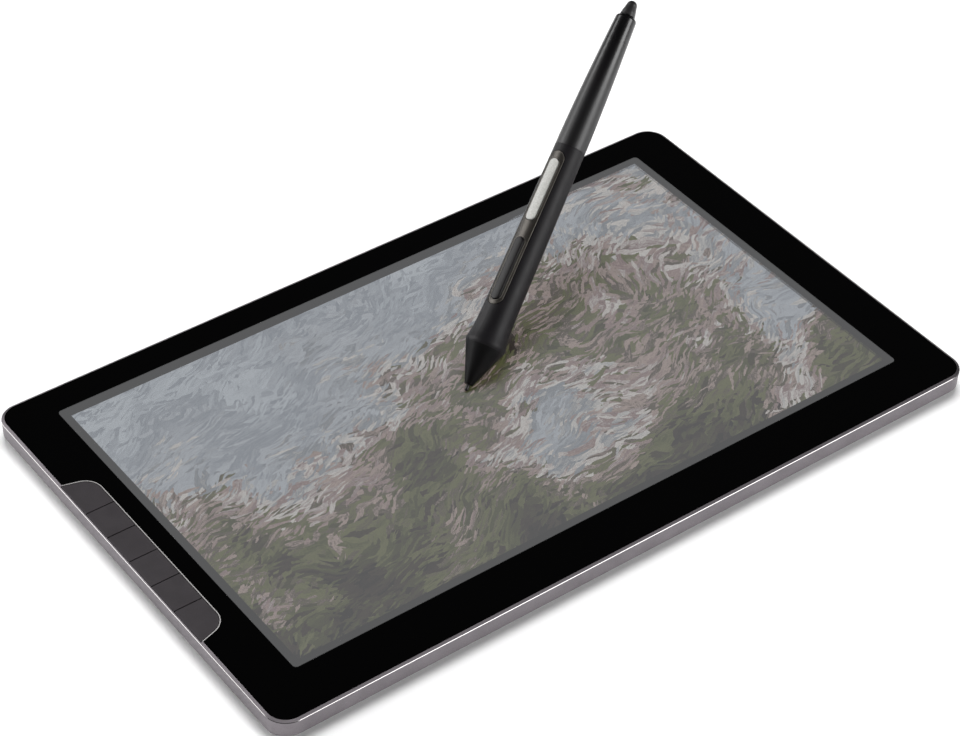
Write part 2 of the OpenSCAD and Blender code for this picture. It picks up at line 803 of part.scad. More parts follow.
module sensor_ribbon() {
    high = z_sensor + sensor_t / 2;
    color("#b5762a") translate([0, sensor_socket_y, 0]) rotate([90, 0, 0])
        linear_extrude(ribbon_w, center = true) polygon([
            [sensor_tail_x, high],
            [sensor_tail_x + flex_bulge, high],
            [sensor_tail_x + flex_bulge, z_ribbon],
            [sensor_tail_x - 2 * socket_l, z_ribbon],
            [sensor_tail_x - 2 * socket_l, z_shield],
            [sensor_tail_x + flex_bulge - ribbon_t, z_shield],
            [sensor_tail_x + flex_bulge - ribbon_t, high - ribbon_t],
            [sensor_tail_x, high - ribbon_t]
        ]);
}

module key_ribbon() {
    x0 = bay_in_x - pocket_step - key_gap;
    turn = bay_in_x + bay_ledge_w + key_gap;
    high = z_key_board_top - board_t / 4;
    end = main_board_x + socket_l;
    color("#d9d4c4") translate([0, key_socket_y, 0]) rotate([90, 0, 0])
        linear_extrude(ribbon_w, center = true) polygon([
            [x0, high],
            [turn + ribbon_t, high],
            [turn + ribbon_t, z_shield],
            [end, z_shield],
            [end, z_ribbon],
            [turn, z_ribbon],
            [turn, high - ribbon_t],
            [x0, high - ribbon_t]
        ]);
}

module main_board() {
    color("#1b5e3c") difference() {
        block([main_board_x, main_board_y, z_board], [main_board_w, main_board_d, board_t]);
        for (p = board_points) translate([p.x, p.y, z_board - cut])
            cylinder(d = board_screw_d + 2 * screw_clear, h = board_t + 2 * cut);
    }
}

module board_screws() {
    grip = standoff_h + cover_t / 2 - screw_clear;
    color("#c9c9cc") for (p = board_points) translate([p.x, p.y, z_board_top]) {
        cylinder(d = board_head_d, h = board_head_h);
        translate([0, 0, -board_t - grip]) cylinder(d = board_screw_d, h = board_t + grip);
    }
}

module main_chip() {
    color("#2b2b2e") block(
        [chip_x - chip_side / 2, chip_y - chip_side / 2, z_board_top],
        [chip_side, chip_side, chip_h]
    );
}

module thermal_pad() {
    color("#8fa7b3") block(
        [chip_x - chip_side / 2, chip_y - chip_side / 2, z_board_top + chip_h],
        [chip_side, chip_side, part_room - chip_h]
    );
}

module small_chips() {
    rows = [main_board_y + main_board_d / 6, main_board_y + main_board_d * 5 / 6];
    color("#303034") for (y = rows, i = [-1, 0, 1])
        block(
            [chip_x + i * chip_side - small_chip_l / 2, y - small_chip_w / 2, z_board_top],
            [small_chip_l, small_chip_w, chip_h]
        );
}

module ribbon_sockets() {
    h = part_room - ribbon_t;
    color("#e4e0d2") {
        block([display_socket_x - ribbon_w / 2, main_board_y, z_board_top], [ribbon_w, socket_l, h]);
        block([main_board_x, key_socket_y - ribbon_w / 2, z_board_top], [socket_l, ribbon_w, h]);
        block(
            [sensor_tail_x - 2 * socket_l, sensor_socket_y - ribbon_w / 2, z_board_top],
            [socket_l, ribbon_w, h]
        );
    }
}

// Carries a plan (width along Y, height along Z) inwards from the sockets' mouths
module from_mouths(depth) {
    for (y = port_y) translate([edge_r - usb_inset - depth, y, z_port]) rotate([90, 0, 90])
        linear_extrude(depth) children();
}

module usb_shells() {
    color("#a9abaf") difference() {
        from_mouths(usb_depth) stadium(usb_w, usb_h);
        translate([cut, 0, 0]) from_mouths(usb_depth - usb_wall + cut)
            stadium(usb_w - 2 * usb_wall, usb_h - 2 * usb_wall);
    }
}

module usb_tongues() {
    back = edge_r - usb_inset - usb_depth + usb_wall;
    color("#222226") for (y = port_y) block(
        [back, y - usb_tongue_w / 2, z_port - usb_tongue_t / 2],
        [usb_tongue_l, usb_tongue_w, usb_tongue_t]
    );
}

module power_button() {
    color("#6d696f") translate([0, power_y, z_port]) rotate([90, 0, 90]) {
        translate([0, 0, power_flange_x]) linear_extrude(edge_r - power_face_in - power_flange_x)
            stadium(power_len, power_w);
        translate([0, 0, power_flange_x - power_flange_t]) linear_extrude(power_flange_t)
            stadium(power_len + 2 * (power_gap + power_flange), power_w + 2 * power_flange);
    }
}

module power_switch() {
    color("#c8c4b4") block(
        [power_switch_x - power_switch_l, power_y - power_switch_w / 2, z_board_top],
        [power_switch_l, power_switch_w, power_switch_h]
    );
}

module key_board() {
    color("#1d6242") translate([0, 0, z_key_board]) linear_extrude(board_t)
        bay_plan(-pocket_step - key_gap, pocket_x + key_gap);
}

// Middle of key i along Y, and the lines between keys
function key_line(i) = (i - key_count / 2) * key_pitch;
function key_mid(i) = key_line(i) - key_pitch / 2;

module key_switches() {
    color("#cfd1d4") for (i = [1 : key_count])
        translate([key_x, key_mid(i), z_key_board_top]) cylinder(d = key_switch_d, h = key_switch_h);
}

// One shortcut key: a thin cap cut from the bay's plan, with a chamfered outer edge and a post
module shortcut_key(i) {
    end = bay_half;
    low = i == 1 ? -end : key_line(i - 1) + key_split / 2;
    high = i == key_count ? end : key_line(i) - key_split / 2;
    out_x = edge_l + bay_lip + key_gap;
    color("#403c40") {
        difference() {
            translate([0, 0, z_key_under]) linear_extrude(key_cap_t) intersection() {
                bay_plan(-key_gap, out_x);
                translate([out_x, low]) square([bay_depth, high - low]);
            }
            translate([out_x, 0, z_key]) rotate([0, 45, 0])
                cube([key_chamfer * sqrt(2), 2 * end, key_chamfer * sqrt(2)], center = true);
        }
        translate([key_x, key_mid(i), z_key_post]) cylinder(d = key_post_d, h = key_post_l);
    }
}

// Stands the pen on the film: the nib's round end touches down at the picture's nib point
module pen_place() {
    nib_r = nib_d / 2;
    translate([tip_x, active_y + tip_y, z_film + nib_lift + nib_r])
        rotate([0, 0, pen_heading]) rotate([0, pen_tilt, 0]) rotate([0, 0, pen_roll])
            translate([0, 0, -nib_r]) children();
}

// Radius of the grip at distance s behind the nose cone
function grip_r(s) =
    (grip_d - (grip_d - seam_d) * pow(s / grip_len, grip_curve)) / 2
    + flare_rise * exp(-s / flare_len)
    - lip_drop * pow(max(0, 1 - s / lip_l), 2);

// Half section of the grip's outside, raised by h, closed on the axis
module grip_section(h) {
    polygon([
        [0, s_grip],
        for (s = grip_stations) [grip_r(s) + h, s_grip + s],
        [0, s_seam]
    ]);
}

// Slot shape on the button side, from the pen's axis distance x0 outwards
module button_slot(start, l, w, x0) {
    translate([x0, 0, start + l / 2]) rotate([0, 90, 0]) linear_extrude(grip_d) stadium(l, w);
}

module pen_nib() {
    color("#2c2a2b") pen_place() rotate_extrude() union() {
        translate([0, nib_d / 2]) square([nib_d / 2, nib_len - nib_d / 2]);
        intersection() {
            translate([0, nib_d / 2]) circle(d = nib_d);
            square([nib_d, nib_d / 2]);
        }
    }
}

module pen_nose_cone() {
    slope = (cone_base_d - cone_tip_d) / 2 / cone_len;
    inner_start = s_ferrite;
    inner_r = cone_tip_d / 2 + slope * (inner_start - s_cone) - cone_wall;
    neck_r = grip_bore_r + cone_wall - neck_clear;
    color("#1c1a1b") pen_place() difference() {
        rotate_extrude() polygon([
            [0, s_cone],
            [cone_tip_d / 2, s_cone],
            [cone_base_d / 2, s_grip],
            [neck_r, s_grip],
            [neck_r, s_grip + cone_neck_l],
            [0, s_grip + cone_neck_l]
        ]);
        rotate_extrude() polygon([
            [0, inner_start],
            [inner_r, inner_start],
            [grip_bore_r, inner_start + (grip_bore_r - inner_r) / slope],
            [grip_bore_r, s_grip + cone_neck_l + cut],
            [0, s_grip + cone_neck_l + cut]
        ]);
        translate([0, 0, s_cone - cut])
            cylinder(r = nib_d / 2 + nib_clear, h = s_ferrite - s_cone + 2 * cut);
    }
}

module pen_grip() {
    socket_r = grip_bore_r + cone_wall;
    color("#3b383b") pen_place() difference() {
        rotate_extrude() grip_section(0);
        translate([0, 0, s_grip - cut]) cylinder(r = grip_bore_r, h = grip_len + 2 * cut);
        translate([0, 0, s_grip - cut]) cylinder(r = socket_r, h = cone_neck_l + cut);
        button_slot(s_slot - slot_gap, slot_l + 2 * slot_gap, slot_w + 2 * slot_gap, slot_seat);
        for (s = [s_lower, s_upper]) translate([0, 0, s + pen_button_l / 2]) rotate([0, 90, 0])
            cylinder(d = stem_d + 2 * pen_button_gap, h = grip_d);
    }
}

module pen_button_surround() {
    color("#4a4648") pen_place() difference() {
        intersection() {
            rotate_extrude() grip_section(-slot_sink);
            button_slot(s_slot, slot_l, slot_w, slot_seat);
        }
        for (s = [s_lower, s_upper])
            button_slot(
                s - pen_button_gap, pen_button_l + 2 * pen_button_gap,
                pen_button_w + 2 * pen_button_gap, 0
            );
    }
}

// A pen button: a long pad that follows the grip's curve, with a round stem
module pen_button(s) {
    pen_place() {
        intersection() {
            rotate_extrude() grip_section(pen_button_proud);
            button_slot(s, pen_button_l, pen_button_w, button_under);
        }
        translate([stem_end, 0, s + pen_button_l / 2]) rotate([0, 90, 0])
            cylinder(d = stem_d, h = button_under - stem_end + pen_button_proud);
    }
}

module pen_lower_button() {
    color("#343133") pen_button(s_lower);
}

module pen_upper_button() {
    color("#dcdcd8") pen_button(s_upper);
}

// Radius of the upper barrel at distance s behind the seam
function barrel_r(s) =
    seam_d / 2 - (seam_d - barrel_end_d) / 2 * pow(s / barrel_taper_l, barrel_curve);

module pen_upper_barrel() {
    neck_r = grip_bore_r - neck_clear;
    round_mid = [barrel_end_d / 2 - barrel_round, s_seam + barrel_taper_l];
    color("#141315") pen_place() difference() {
        rotate_extrude() polygon([
            [0, s_seam - barrel_neck_l],
            [neck_r, s_seam - barrel_neck_l],
            [neck_r, s_seam],
            [seam_d / 2 - seam_gap, s_seam],
            for (i = [0 : barrel_steps])
                let (s = seam_gap + i / barrel_steps * (barrel_taper_l - seam_gap))
                    [barrel_r(s), s_seam + s],
            for (a = [10 : 10 : 90]) round_mid + barrel_round * [cos(a), sin(a)],
            [0, s_barrel_end]
        ]);
        translate([0, 0, s_seam - barrel_neck_l - cut])
            cylinder(r = grip_bore_r - barrel_wall, h = barrel_neck_l + cut);
        translate([0, 0, s_seam - neck_clear])
            cylinder(r = barrel_bore_r, h = barrel_len + cut);
    }
}

module pen_tail_tip() {
    end_r = tail_end_d / 2;
    color("#171618") pen_place() {
        rotate_extrude() polygon([
            [0, s_tail],
            [tail_d / 2, s_tail],
            [tail_d / 2 - tail_skirt / 6, s_tail + tail_skirt],
            for (a = [0 : 7.5 : 90]) [end_r * cos(a), s_tail + tail_len - end_r * (1 - sin(a))]
        ]);
        translate([0, 0, s_tail - tail_stem_l]) cylinder(d = tail_stem_d, h = tail_stem_l);
    }
}

module pen_tail_switch() {
    color("#b8b4a6") pen_place() translate([0, 0, s_tail_switch])
        cylinder(r = barrel_bore_r - neck_clear, h = tail_switch_l);
}

module pen_ferrite_core() {
    color("#4b4640") pen_place() translate([0, 0, s_ferrite]) difference() {
        cylinder(d = ferrite_d, h = s_pressure - s_ferrite);
        translate([0, 0, -cut])
            cylinder(r = nib_d / 2 + nib_clear, h = s_pressure - s_ferrite + 2 * cut);
    }
}

module pen_coil() {
    color("#b4682d") pen_place() translate([0, 0, s_coil]) difference() {
        cylinder(d = coil_d, h = coil_l);
        translate([0, 0, -cut]) cylinder(d = ferrite_d, h = coil_l + 2 * cut);
    }
}

module pen_pressure_sensor() {
    depth = nib_len + nib_travel + press_rest - s_pressure;
    color("#8d8f94") pen_place() translate([0, 0, s_pressure]) difference() {
        cylinder(r = grip_bore_r - neck_clear, h = pressure_l);
        translate([0, 0, -cut]) cylinder(r = nib_d / 2 + nib_clear, h = depth + cut);
    }
}

module pen_board() {
    color("#1f6b46") pen_place() block(
        [pen_board_top - board_t, -pen_board_w / 2, s_pen_board],
        [board_t, pen_board_w, pen_board_l]
    );
}

module pen_switches() {
    side = stem_d + 2 * pen_switch_rim;
    color("#d3d0c8") pen_place() for (s = [s_lower, s_upper])
        block(
            [pen_board_top, -side / 2, s + pen_button_l / 2 - side / 2],
            [pen_switch_h, side, side]
        );
}

mid_frame();
rear_cover();
front_glass();
glass_gasket();
surface_film();
optical_bond();
lcd_panel();
diffuser_films();
light_guide();
reflector_sheet();
led_strip();
backlight_tray();
sensor_board();
shield_plate();
driver_board();
panel_flex();
display_ribbon();
sensor_ribbon();
key_ribbon();
main_board();
main_chip();
small_chips();
ribbon_sockets();
thermal_pad();
board_screws();
usb_shells();
usb_tongues();
power_switch();
power_button();
key_board();
key_switches();
shortcut_key(1);  // shortcut_key_1
shortcut_key(2);  // shortcut_key_2
shortcut_key(3);  // shortcut_key_3
shortcut_key(4);  // shortcut_key_4
shortcut_key(5);  // shortcut_key_5
shortcut_key(6);  // shortcut_key_6
case_screws();
rubber_feet();
pen_nib();
pen_nose_cone();
pen_grip();
pen_upper_barrel();
pen_button_surround();
pen_lower_button();
pen_upper_button();
pen_tail_tip();
pen_ferrite_core();
pen_coil();
pen_pressure_sensor();
pen_board();
pen_switches();
pen_tail_switch();
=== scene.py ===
"""A pen display on a pale studio floor: the tablet, its surface film and its pen.

The pieces come in the order of their assembly, from the rear cover forwards.
"""

import json
import math

import bmesh
import bpy
from mathutils import Matrix, Vector


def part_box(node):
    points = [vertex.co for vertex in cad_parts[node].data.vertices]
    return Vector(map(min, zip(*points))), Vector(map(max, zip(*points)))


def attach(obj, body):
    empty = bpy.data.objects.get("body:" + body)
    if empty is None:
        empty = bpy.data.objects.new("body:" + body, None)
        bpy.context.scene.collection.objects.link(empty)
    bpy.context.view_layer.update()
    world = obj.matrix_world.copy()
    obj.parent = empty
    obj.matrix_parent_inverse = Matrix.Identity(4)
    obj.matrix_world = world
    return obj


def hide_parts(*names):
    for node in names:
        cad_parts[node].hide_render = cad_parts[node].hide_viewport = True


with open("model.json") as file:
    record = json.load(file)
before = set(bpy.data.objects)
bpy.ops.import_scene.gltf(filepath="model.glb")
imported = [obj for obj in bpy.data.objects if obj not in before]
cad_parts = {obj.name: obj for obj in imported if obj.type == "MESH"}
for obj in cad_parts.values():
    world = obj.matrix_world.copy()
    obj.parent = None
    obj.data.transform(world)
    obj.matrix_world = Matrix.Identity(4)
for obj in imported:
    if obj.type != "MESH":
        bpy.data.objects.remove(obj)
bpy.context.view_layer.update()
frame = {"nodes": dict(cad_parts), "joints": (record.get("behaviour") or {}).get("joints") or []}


# Rear cover
# A shallow tray of black glass-filled plastic, moulded with a fine spark-eroded texture.
# Vents and screw recesses are moulded in, and eight screws hold it to the metal frame.
class Wire:
    """A socket of a finish's node tree. Arithmetic on wires adds the Math nodes that it needs."""

    def __init__(self, tree, socket=None):
        self.tree = tree
        self.socket = socket

    def node(self, kind, settings, sockets, out=None):
        """Adds a node of this type, applies its settings, then sets or links its sockets."""
        made = self.tree.nodes.new("ShaderNode" + kind)
        for name, value in settings.items():
            if name == "stops":
                stops = made.color_ramp.elements
                stops[0].position = value[0][0]
                stops[1].position = value[-1][0]
                for place, _ in value[1:-1]:
                    stops.new(place)
                for stop, (_, colour) in zip(stops, value):
                    stop.color = colour
            else:
                setattr(made, name, value)
        for name, value in sockets.items():
            socket = next(s for s in made.inputs if s.identifier == name)
            if isinstance(value, Wire):
                self.tree.links.new(value.socket, socket)
            else:
                socket.default_value = value
        outputs = [s for s in made.outputs if out in (None, s.identifier)]
        return Wire(self.tree, outputs[0] if outputs else None)

    def also(self, out):
        """Another output of the node that this wire comes from."""
        return Wire(self.tree, next(s for s in self.socket.node.outputs if s.identifier == out))

    def math(self, operation, a, b=0.0):
        return self.node("Math", {"operation": operation}, {"Value": a, "Value_001": b})

    def __add__(self, other):
        return self.math("ADD", self, other)

    def __sub__(self, other):
        return self.math("SUBTRACT", self, other)

    def __rsub__(self, other):
        return self.math("SUBTRACT", other, self)

    def __mul__(self, other):
        return self.math("MULTIPLY", self, other)

    __radd__ = __add__
    __rmul__ = __mul__


MM = 0.001


def shade(red, green, blue):
    """A linear colour from the values that a screen shows, 0 to 255."""
    linear = [
        ((c / 255 + 0.055) / 1.055) ** 2.4 if c > 10 else c / 255 / 12.92
        for c in (red, green, blue)
    ]
    return (*linear, 1.0)


def new_finish(name):
    """An empty material, and a wire that starts its node tree."""
    made = bpy.data.materials.new(name)
    made.use_nodes = True
    made.node_tree.nodes.clear()
    return made, Wire(made.node_tree)


def coat_on(start, sockets):
    """Ends a node tree in one principled shader with these sockets."""
    shader = start.node("BsdfPrincipled", {}, sockets)
    start.node("OutputMaterial", {}, {"Surface": shader})


def place_on(start):
    """Position on the piece, in metres, in the tablet's own frame."""
    return start.node("TexCoord", {}, {}, "Object")


def noise(place, size, detail=2.0):
    """Noise from 0 to 1 whose blobs are about this size."""
    return place.node("TexNoise", {}, {"Vector": place, "Scale": 1 / size, "Detail": detail})


def rise(value, low, high):
    """0 below low, 1 above high, and a soft step between."""
    ends = {"Value": value, "From Min": low, "From Max": high}
    return value.node("MapRange", {"interpolation_type": "SMOOTHSTEP"}, ends)


def mix(factor, first, second):
    """The first colour where the factor is 0, and the second where it is 1."""
    ends = {"Factor_Float": factor, "A_Color": first, "B_Color": second}
    return factor.node("Mix", {"data_type": "RGBA"}, ends, "Result_Color")


def bump(height, depth):
    """A normal for a relief of this depth."""
    sockets = {"Height": height, "Distance": depth, "Strength": 1.0}
    return height.node("Bump", {}, sockets, "Normal")


def grained(name, dark, light, rough, grain, relief, **more):
    """A finish with a fine grain: two tones, an uneven gloss and a relief of one grain size."""
    made, start = new_finish(name)
    place = place_on(start)
    fine = noise(place, grain)
    cloud = noise(place, 40 * grain)
    tone = mix(rise(fine * 0.6 + cloud * 0.4, 0.3, 0.7), dark, light)
    sockets = {
        "Base Color": tone,
        "Roughness": rough - 0.06 + 0.12 * cloud,
        "Normal": bump(fine, relief),
    }
    coat_on(start, sockets | {key.replace("_", " "): value for key, value in more.items()})
    return made


def dress(finish, *names):
    """Gives these pieces of the frame a finish."""
    for name in names:
        piece = frame["nodes"][name]
        piece.data.materials.clear()
        piece.data.materials.append(finish)


rear_plastic = grained(
    "rear_plastic", shade(34, 34, 37), shade(44, 43, 47),
    rough=0.6, grain=0.18 * MM, relief=0.03 * MM,
)
dress(rear_plastic, "rear_cover")


# Rubber feet and case screws
# Four long pads of cast rubber are glued into recesses of the rear cover.
# The screws are plain steel with a cross recess.
foot_rubber = grained(
    "foot_rubber", shade(20, 20, 21), shade(30, 30, 31),
    rough=0.82, grain=0.25 * MM, relief=0.04 * MM,
)
dress(foot_rubber, "rubber_feet")
screw_steel = grained(
    "screw_steel", shade(150, 150, 152), shade(185, 185, 188),
    rough=0.35, grain=0.1 * MM, relief=0.004 * MM, Metallic=1.0,
)
dress(screw_steel, "case_screws", "board_screws")


# Circuit boards
# Glass-fibre boards under green solder resist. Copper tracks show through as lighter lines.
# The main board is screwed to the rear cover, and the others lie in the stack or in the pen.
track_cell = 2.2 * MM
pad_pitch = 3.1 * MM
board_green, start = new_finish("circuit_green")
place = place_on(start)
cell = start.node(
    "TexVoronoi",
    {"feature": "DISTANCE_TO_EDGE"},
    {"Vector": place, "Scale": 1 / track_cell},
    "Distance",
)
track = 1 - rise(cell, 0.05, 0.09)
pads = start.node("TexVoronoi", {}, {"Vector": place, "Scale": 1 / pad_pitch}, "Distance")
pad = 1 - rise(pads, 0.12, 0.15)
resist = mix(track, shade(16, 70, 44), shade(38, 104, 66))
coat_on(start, {
    "Base Color": mix(pad, resist, shade(196, 190, 176)),
    "Metallic": pad,
    "Roughness": 0.42 - 0.12 * pad,
    "Normal": bump(track + pad, 0.02 * MM),
})
dress(board_green, "main_board", "driver_board", "sensor_board", "key_board", "pen_board")


# Chips, sockets and switches
# Moulded epoxy chips, with a soft heat pad on the largest.
# Nylon sockets and switch bodies are soldered to the boards.
chip_epoxy = grained(
    "chip_epoxy", shade(30, 30, 32), shade(40, 40, 42),
    rough=0.55, grain=0.12 * MM, relief=0.01 * MM,
)
dress(chip_epoxy, "main_chip", "small_chips", "usb_tongues")
cream_nylon = grained(
    "cream_nylon", shade(204, 198, 180), shade(222, 217, 200),
    rough=0.5, grain=0.3 * MM, relief=0.01 * MM,
)
dress(cream_nylon, "ribbon_sockets", "power_switch", "pen_switches", "pen_tail_switch")
heat_pad = grained(
    "heat_pad", shade(128, 152, 164), shade(148, 172, 182),
    rough=0.75, grain=0.5 * MM, relief=0.03 * MM,
)
dress(heat_pad, "thermal_pad")


# Ribbons and flexes
# Flat ribbons of tinned conductors in clear laminate, and amber polyimide flexes.
# The flexes carry etched copper. Each joins two boards, or the panel and its board.
def striped(name, base, line, across, pitch, rough):
    """A finish with parallel conductors at this pitch across one axis."""
    made, start = new_finish(name)
    place = place_on(start)
    along = start.node("SeparateXYZ", {}, {"Vector": place}, across)
    wave = start.math("SINE", along * (2 * math.pi / pitch))
    wire = rise(wave, -0.2, 0.3)
    coat_on(start, {
        "Base Color": mix(wire, base, line),
        "Roughness": rough,
        "Normal": bump(wire, 0.03 * MM),
    })
    return made


laminate = {
    "base": shade(214, 210, 196), "line": shade(172, 170, 164), "pitch": 1.0 * MM, "rough": 0.4
}
polyimide = {
    "base": shade(150, 92, 30), "line": shade(186, 124, 56), "pitch": 0.5 * MM, "rough": 0.3
}
dress(striped("ribbon_x", across="Y", **laminate), "key_ribbon")
dress(striped("ribbon_y", across="X", **laminate), "display_ribbon")
dress(striped("flex_x", across="Y", **polyimide), "sensor_ribbon")
dress(striped("flex_y", across="X", **polyimide), "panel_flex")


# Shield plate, backlight tray and socket shells
# Thin rolled sheet, with the lines of rolling along the long side.
# The socket shells are drawn and nickel plated.
rolled, start = new_finish("rolled_sheet")
place = place_on(start)
stretched = start.node("Mapping", {}, {"Vector": place, "Scale": (0.04, 1.0, 1.0)})
lines = noise(stretched, 0.12 * MM, 3.0)
coat_on(start, {
    "Base Color": mix(lines, shade(168, 169, 172), shade(200, 201, 204)),
    "Metallic": 1.0,
    "Roughness": 0.28 + 0.18 * lines,
    "Normal": bump(lines, 0.004 * MM),
})
dress(rolled, "shield_plate", "backlight_tray", "pen_pressure_sensor")
nickel_shell = grained(
    "nickel_shell", shade(176, 176, 178), shade(205, 204, 204),
    rough=0.24, grain=0.3 * MM, relief=0.003 * MM, Metallic=1.0,
)
dress(nickel_shell, "usb_shells", "key_switches")


# Backlight
# White reflector, clear light guide with printed dots, and diffuser films, stacked in the tray.
# A strip of LEDs along the near edge shines into the guide.
white_sheet = grained(
    "white_sheet", shade(236, 237, 240), shade(248, 248, 250),
    rough=0.6, grain=0.2 * MM, relief=0.005 * MM,
)
dress(white_sheet, "reflector_sheet", "diffuser_films")
dot_pitch = 1.4 * MM
guide, start = new_finish("light_guide")
place = place_on(start)
dots = start.node(
    "TexVoronoi", {}, {"Vector": place, "Scale": 1 / dot_pitch, "Randomness": 0.0}, "Distance"
)
dot = 1 - rise(dots, 0.25, 0.3)
coat_on(start, {
    "Base Color": mix(dot, shade(214, 228, 236), shade(250, 252, 255)),
    "Roughness": 0.08 + 0.4 * dot,
})
dress(guide, "light_guide")
led_pitch = 6 * MM
leds, start = new_finish("led_strip")
place = place_on(start)
along = start.node("SeparateXYZ", {}, {"Vector": place}, "X")
dome = rise(start.math("SINE", along * (2 * math.pi / led_pitch)), 0.1, 0.2)
coat_on(start, {
    "Base Color": mix(dome, shade(228, 224, 214), shade(236, 206, 84)),
    "Roughness": 0.5 - 0.2 * dome,
})
dress(leds, "led_strip")


# LCD panel
# Two sheets of glass with the liquid crystal between them, dark outside the lit field.
# It shows a brushed picture of plain colours: slate, off-white, dusty pink, olive and brown.
lit_w = 256.3 * MM
lit_d = 144.2 * MM
film_low, film_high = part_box("surface_film")
lit_middle = (film_low + film_high) / 2
panel, start = new_finish("lcd_panel")
place = place_on(start)
over_field = {
    "Location": (-lit_middle.x / lit_d, -lit_middle.y / lit_d, 0),
    "Scale": (1 / lit_d, 1 / lit_d, 0),
}
field = start.node("Mapping", {}, {"Vector": place} | over_field)


def swirl(field, size, reach, seed):
    """The field pushed about by noise of this size, as wet paint is."""
    moved = field.node("Mapping", {}, {"Vector": field, "Location": (seed, seed / 2, seed / 3)})
    push = field.node("TexNoise", {}, {"Vector": moved, "Scale": 1 / size, "Detail": 3.0}, "Color")
    middle = {"Vector": push, "Vector_001": (0.5, 0.5, 0.5)}
    centred = field.node("VectorMath", {"operation": "SUBTRACT"}, middle)
    scaled = field.node("VectorMath", {"operation": "SCALE"}, {"Vector": centred, "Scale": reach})
    return field.node("VectorMath", {"operation": "ADD"}, {"Vector": field, "Vector_001": scaled})


def colour_field(field, shift):
    """The picture's colours in broad pools: cool and pale far off, olive and dark close by."""
    flow = swirl(swirl(field, 0.9, 0.9, 3.0), 0.3, 0.3, 7.0)
    upward = field.node("SeparateXYZ", {}, {"Vector": field}, "Y")
    across = field.node("SeparateXYZ", {}, {"Vector": field}, "X")
    level = 1.25 * noise(flow, 0.5, 4.0) - 0.13 + 0.38 * upward - 0.08 * across + shift
    stops = [
        (0.22, shade(16, 14, 13)),
        (0.30, shade(44, 36, 31)),
        (0.36, shade(58, 61, 36)),
        (0.41, shade(88, 90, 60)),
        (0.45, shade(66, 58, 54)),
        (0.48, shade(146, 132, 126)),
        (0.51, shade(106, 88, 90)),
        (0.55, shade(178, 175, 171)),
        (0.60, shade(108, 113, 119)),
        (0.67, shade(150, 155, 161)),
        (0.77, shade(118, 124, 132)),
        (0.90, shade(156, 162, 168)),
    ]
    return field.node("ValToRGB", {"stops": stops}, {"Fac": level}, "Color")


def brush_layer(field, size, turn, seed):
    """Long dabs of one brush, each of one colour.

    Gives their colour, and three numbers from 0 to 1 for each dab.
    """
    lie = {"Rotation": (0, 0, turn), "Scale": (4.5, 1, 1)}
    ragged = swirl(swirl(field, 0.45, 0.3, 11.0), 1.2 * size, 1.0 * size, seed)
    across = field.node("Mapping", {"vector_type": "TEXTURE"}, {"Vector": ragged} | lie)
    cell = field.node(
        "TexVoronoi",
        {"voronoi_dimensions": "2D"},
        {"Vector": across, "Scale": 1 / size},
        "Position",
    )
    middle = field.node("Mapping", {}, {"Vector": cell} | lie)
    number = field.node("SeparateColor", {}, {"Color": cell.also("Color")}, "Red")
    bristles = field.node("Mapping", {}, {"Vector": across, "Scale": (0.12, 1, 1)})
    bristle = noise(bristles, 0.16 * size, 2.0)
    shift = 0.16 * (number - 0.5) + 0.1 * (bristle - 0.5)
    return colour_field(middle, shift), cell.also("Color")


painting, _ = brush_layer(field, 0.03, 0.3, 2.0)
layers = (
    (0.018, 0.75, 5.0, 0.45, "Green"),
    (0.01, -0.1, 9.0, 0.55, "Blue"),
    (0.006, 0.5, 4.0, 0.6, "Red"),
)
for size, turn, seed, share, out in layers:
    over, numbers = brush_layer(field, size, turn, seed)
    chosen = start.node("SeparateColor", {}, {"Color": numbers}, out)
    painting = mix(rise(chosen, share - 0.02, share + 0.02), painting, over)
coat_on(start, {
    "Base Color": shade(6, 6, 8),
    "Roughness": 0.12,
    "Emission Color": painting,
    "Emission Strength": 1.0,
})
dress(panel, "lcd_panel")


# Metal frame
# One ring machined from aluminium, bead-blasted and anodised grey, with the glass ledge and
# the key bay in it. The edge round the wall's top and the rib round the bay are cut bright
# after anodising. The bevel between that edge and the glass is painted darker, as painted
# shade for how light falls on its slope.
metal, start = new_finish("frame_metal")
place = place_on(start)
height = start.node("SeparateXYZ", {}, {"Vector": place}, "Z")
facing = start.node("NewGeometry", {}, {}, "Normal")
up = start.node("SeparateXYZ", {}, {"Vector": facing}, "Z")
rim_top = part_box("mid_frame")[1].z
cut_top = 8.92 * MM
near_top = rise(height, rim_top - 0.8 * MM, rim_top - 0.7 * MM)
leaning = rise(up, 0.6, 0.66) * (1 - rise(up, 0.76, 0.82))
cut_edge = leaning * near_top * (1 - rise(height, cut_top, cut_top + 0.05 * MM))
rib_top = rise(up, 0.95, 0.98) * rise(height, rim_top - 0.06 * MM, rim_top - 0.03 * MM)
# The bevel's slope is painted darker here: painted shade, not a tone of the metal.
bevel_painted_shade = rise(up, 0.78, 0.84) * near_top * (1 - rib_top)
bright = start.math("MAXIMUM", cut_edge, rib_top)
blast = noise(place, 0.16 * MM, 3.0)
cloud = noise(place, 9 * MM)
speckle = rise(blast * 0.7 + cloud * 0.3, 0.3, 0.7)
blasted = mix(speckle, shade(118, 113, 117), shade(140, 135, 139))
anodised_and_bevel_shade = mix(0.7 * bevel_painted_shade, blasted, shade(84, 80, 83))
coat_on(start, {
    "Base Color": mix(bright, anodised_and_bevel_shade, shade(158, 156, 155)),
    "Metallic": 1.0 - 0.6 * rib_top,
    "Roughness": (0.44 + 0.1 * blast) * (1 - bright) + 0.18 * bright + 0.26 * rib_top,
    "Normal": bump(blast * (1 - bright), 0.02 * MM),
})
dress(metal, "mid_frame", "power_button")


